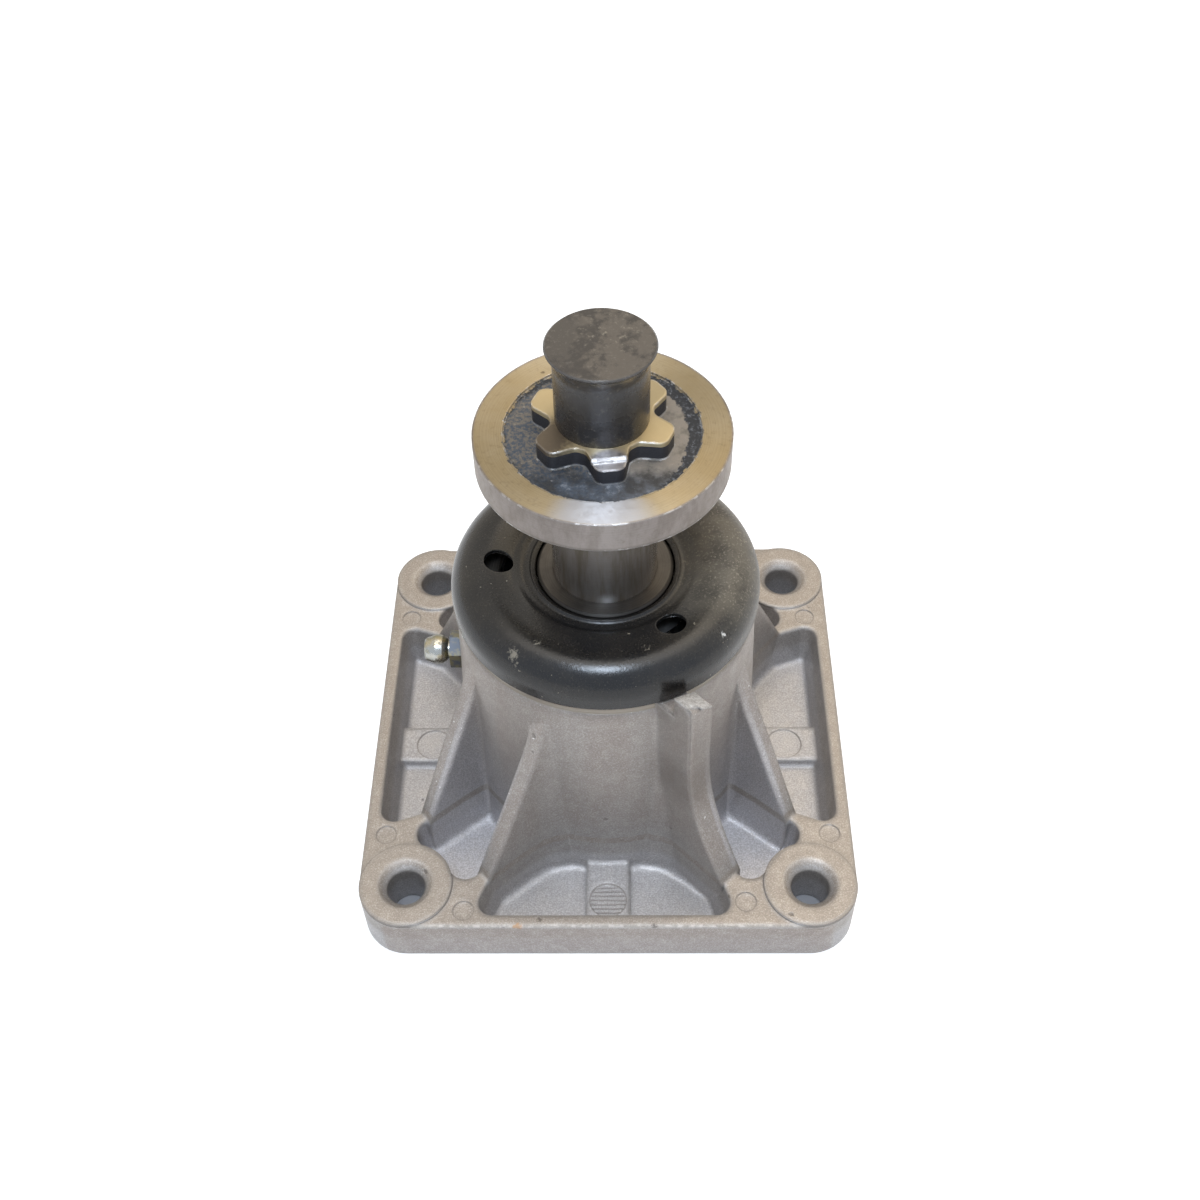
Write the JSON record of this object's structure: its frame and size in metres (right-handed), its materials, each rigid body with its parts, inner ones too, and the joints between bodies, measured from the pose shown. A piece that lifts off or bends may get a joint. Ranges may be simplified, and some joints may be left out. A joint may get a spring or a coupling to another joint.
{
  "type": "mower deck spindle",
  "caption": "Mower deck spindle: square cast flange and ribbed hub with a grease nipple, dust shield, and a turning shaft with blade disc and star drive.",
  "frame": {"origin": "middle of the flange's mounting face, on the shaft's axis", "axes": "+Z along the shaft towards the blade end, -X towards the grease nipple, flange sides along X and Y"},
  "size_m": [0.125, 0.125, 0.1457],
  "materials": {
    "cast_aluminium": "as cast, matt",
    "black_sheet": "satin black",
    "plated_steel": "yellowish zinc plate",
    "ball_steel": "polished",
    "spring_steel": "plain",
    "turned_steel": "turned, slightly tarnished",
    "collar_steel": "turned",
    "cap_black": "satin, worn",
    "bearing_steel": "ground",
    "cage_plastic": "plain",
    "seal_rubber": "plain"
  },
  "bodies": {
    "housing": {"housing_casting": "cast_aluminium", "dust_shield": "black_sheet", "upper_bearing_outer_ring": "bearing_steel", "lower_bearing_outer_ring": "bearing_steel", "upper_bearing_seal": "seal_rubber", "lower_bearing_seal": "seal_rubber", "bore_retaining_ring": "spring_steel", "grease_nipple": "plated_steel", "nipple_spring": "spring_steel"},
    "spindle": {"spindle_shaft": "turned_steel", "stud_cap": "cap_black", "shaft_collar": "collar_steel", "bearing_spacer": "turned_steel", "upper_bearing_inner_ring": "bearing_steel", "lower_bearing_inner_ring": "bearing_steel", "shaft_retaining_ring": "spring_steel"},
    "upper_ball_set": {"upper_bearing_balls": "ball_steel", "upper_bearing_cage": "cage_plastic"},
    "lower_ball_set": {"lower_bearing_balls": "ball_steel", "lower_bearing_cage": "cage_plastic"},
    "check_ball": {"nipple_ball": "ball_steel"}
  },
  "joints": [
    {"name": "spindle_spin", "type": "hinge", "parent": "housing", "child": "spindle", "pos_m": [0, 0, 0.065], "axis": [0, 0, 1], "continuous": true},
    {"name": "upper_balls_spin", "type": "hinge", "parent": "housing", "child": "upper_ball_set", "pos_m": [0, 0, 0.0652], "axis": [0, 0, 1], "continuous": true},
    {"name": "lower_balls_spin", "type": "hinge", "parent": "housing", "child": "lower_ball_set", "pos_m": [0, 0, 0.0355], "axis": [0, 0, 1], "continuous": true},
    {"name": "nipple_ball_press", "type": "slide", "parent": "housing", "child": "check_ball", "axis": [1, 0, 0], "range_m": [0, 0.0008], "stiffness_N_per_m": 300, "springref_m": -0.002, "deforming": ["nipple_spring"]}
  ],
  "couplings": [
    {"joint": "upper_balls_spin", "follows": "spindle_spin", "ratio": 0.3987},
    {"joint": "lower_balls_spin", "follows": "spindle_spin", "ratio": 0.3987}
  ]
}
